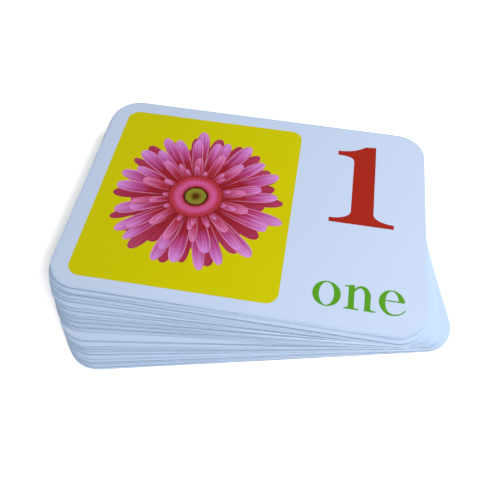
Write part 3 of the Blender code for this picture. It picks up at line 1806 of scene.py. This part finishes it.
@dataclass
class FlashCard:
    """One card of the deck: its board and everything printed on its face."""

    number: int
    place: CardPlace
    blank: CardBlank
    panel: Panel
    lettering: Lettering

    @property
    def scheme(self) -> Scheme:
        """Give the card's inks."""
        return SCHEMES[(self.number - 1) % len(SCHEMES)]

    def build_board(self, film: Material, edge: Material) -> None:
        """Make the board in place of the card's node.

        Args:
            film: The finish of both faces.
            edge: The finish of the cut edge.
        """
        board = self.blank.build(self.place, film, edge)
        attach(board, self.place.node)
        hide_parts(self.place.node)
        LOG.info("%s: %d faces", board.name, len(board.data.polygons))

    def picture(self) -> tuple[Blossom | CountingPicture, list[Finish]]:
        """Choose the picture: one large flower on the first card, and flowers to count on the others.

        Returns:
            The picture, and the inks of its petals and hearts.
        """
        if self.number == 1:
            return Blossom(), [PetalInk(), HeartInk()]
        scheme = self.scheme
        kind = list(FlowerKind)[self.number % len(FlowerKind)]
        petal_ink = PetalInk.tinted(f"{scheme.name}_petal_ink", scheme.petals)
        heart_ink = SmallHeartInk(f"{scheme.name}_heart_ink", scheme.heart)
        return CountingPicture(self.panel, kind, self.number), [petal_ink, heart_ink]

    def build_print(self) -> None:
        """Print the card's face and let the print move with the card."""
        scheme = self.scheme
        uses = (("panel", scheme.panel), ("figure", scheme.figures), ("word", scheme.word))
        plain_inks = [FilmedColour(f"{scheme.name}_{use}_ink", colour) for use, colour in uses]
        picture, picture_inks = self.picture()
        inks = [ink.build() for ink in plain_inks + picture_inks]
        sheet = PrintSheet()
        self.panel.print_on(sheet)
        self.lettering.print_on(sheet, self.number)
        picture.print_on(sheet)
        piece = sheet.build(f"{self.place.node}_print", inks)
        piece.data.transform(self.place.matrix(self.blank.ink_level(self.place)))
        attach(piece, self.place.node)
        LOG.info("%s: %d faces", piece.name, len(piece.data.polygons))


@dataclass
class Deck:
    """All the cards, each on its own body of the frame."""

    blank: CardBlank = field(default_factory=CardBlank)
    panel: Panel = field(default_factory=Panel)
    lettering: Lettering = field(default_factory=Lettering)

    def build(self) -> CardPlace:
        """Make every card.

        Returns:
            The place of the top card.
        """
        film = BoardFilm().build()
        edge = CutEdge().build()
        places = [CardPlace.of_node(node) for node in sorted(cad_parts)]
        for number, place in enumerate(places, start=1):
            card = FlashCard(number, place, self.blank, self.panel, self.lettering)
            card.build_board(film, edge)
            card.build_print()
        return places[0]


@dataclass(frozen=True)
class SoftLamp:
    """A square soft light that faces the deck and stays out of the picture."""

    name: str
    place: Triple
    watts: float
    side_m: float = 0.25

    def build(self) -> None:
        """Hang the light."""
        lamp = bpy.data.lights.new(self.name, "AREA")
        lamp.size = self.side_m
        lamp.energy = self.watts
        holder = put_in_scene(self.name, lamp)
        holder.visible_camera = False
        holder.location = self.place
        holder.rotation_euler = (-Vector(self.place)).to_track_quat("-Z", "Y").to_euler()


@dataclass
class Studio:
    """A white floor, soft light and the camera, set out from the top card."""

    top: CardPlace
    eye_mm: Triple = (17.56, -147.4, 178.33)
    aim_mm: Triple = (2.71, -22.96, 0.0)
    roll_deg: float = 2.7
    lens_mm: float = 41.05
    sensor_mm: float = 36.0
    clip_start_m: float = 0.01
    floor_m: float = 4.0
    floor_grey: Colour = (0.95, 0.95, 0.95, 1.0)
    floor_grain: float = 0.02
    floor_grain_scale: float = 400.0
    floor_roughness: float = 0.9
    floor_lift: Fade = Fade(0.12, 0.36, 0.5, 1.0)
    sky: float = 0.06
    lamps: tuple[SoftLamp, ...] = (
        SoftLamp("key_light", (0.25, -0.335, 0.41), 2.5),
        SoftLamp("fill_light", (0.42, 0.45, 0.5), 3.4),
        SoftLamp("back_light", (-0.45, 0.36, 0.1), 0.9),
    )

    def build(self) -> None:
        """Set up the floor, the light and the camera."""
        self.build_floor()
        self.build_world()
        for lamp in self.lamps:
            lamp.build()
        self.build_camera()
        bpy.context.scene.view_settings.view_transform = "Standard"

    def floor_paper(self) -> Material:
        """Make the floor's finish, which the camera sees lit up to white away from the deck.

        Returns:
            The finished material.
        """
        bench = NodeBench(bpy.data.materials.new("floor_paper"))
        grain = bench.noise(self.floor_grain_scale)
        away = bench.add("ShaderNodeVectorMath", Vector=bench.place())
        away.operation = "LENGTH"
        lift = bench.fade(away.outputs["Value"], self.floor_lift)
        return bench.finish(
            Base_Color=bench.mix(grain, self.floor_grey, shaded(self.floor_grey, 1 + self.floor_grain)),
            Roughness=self.floor_roughness,
            Specular_IOR_Level=0.0,
            Emission_Color=WHITE,
            Emission_Strength=bench.product(bench.seen(), lift),
        )

    def build_floor(self) -> None:
        """Make the pale floor, which keeps the deck's shadow."""
        bm = bmesh.new()
        bmesh.ops.create_grid(bm, x_segments=1, y_segments=1, size=self.floor_m / 2)
        mesh = bpy.data.meshes.new("floor")
        bm.to_mesh(mesh)
        bm.free()
        mesh.materials.append(self.floor_paper())
        floor = put_in_scene("floor", mesh)

    def build_world(self) -> None:
        """Make an even pale sky, which the camera sees white."""
        world = bpy.data.worlds.new("studio")
        bpy.context.scene.world = world
        bench = NodeBench(world, "Background")
        bench.finish(Color=WHITE, Strength=bench.span(bench.seen(), 0.0, 1.0, self.sky, 1.0))

    def build_camera(self) -> None:
        """Set the camera over the near side of the deck."""
        top = self.top.middle + Vector((0, 0, self.top.thickness))
        eye = top + Vector(self.eye_mm) * MM
        aim = top + Vector(self.aim_mm) * MM
        camera = bpy.data.cameras.new("camera")
        camera.lens = self.lens_mm
        camera.sensor_width = self.sensor_mm
        camera.clip_start = self.clip_start_m
        holder = put_in_scene("camera", camera)
        look = (aim - eye).to_track_quat("-Z", "Y").to_matrix().to_4x4()
        roll = Matrix.Rotation(math.radians(self.roll_deg), 4, "Z")
        holder.matrix_world = Matrix.Translation(eye) @ look @ roll
        bpy.context.scene.camera = holder


def main() -> None:
    """Build the deck, then the studio round it."""
    logging.basicConfig(level=logging.INFO, format="%(name)s: %(message)s")
    top = Deck().build()
    Studio(top).build()


if __name__ == "__main__":
    main()
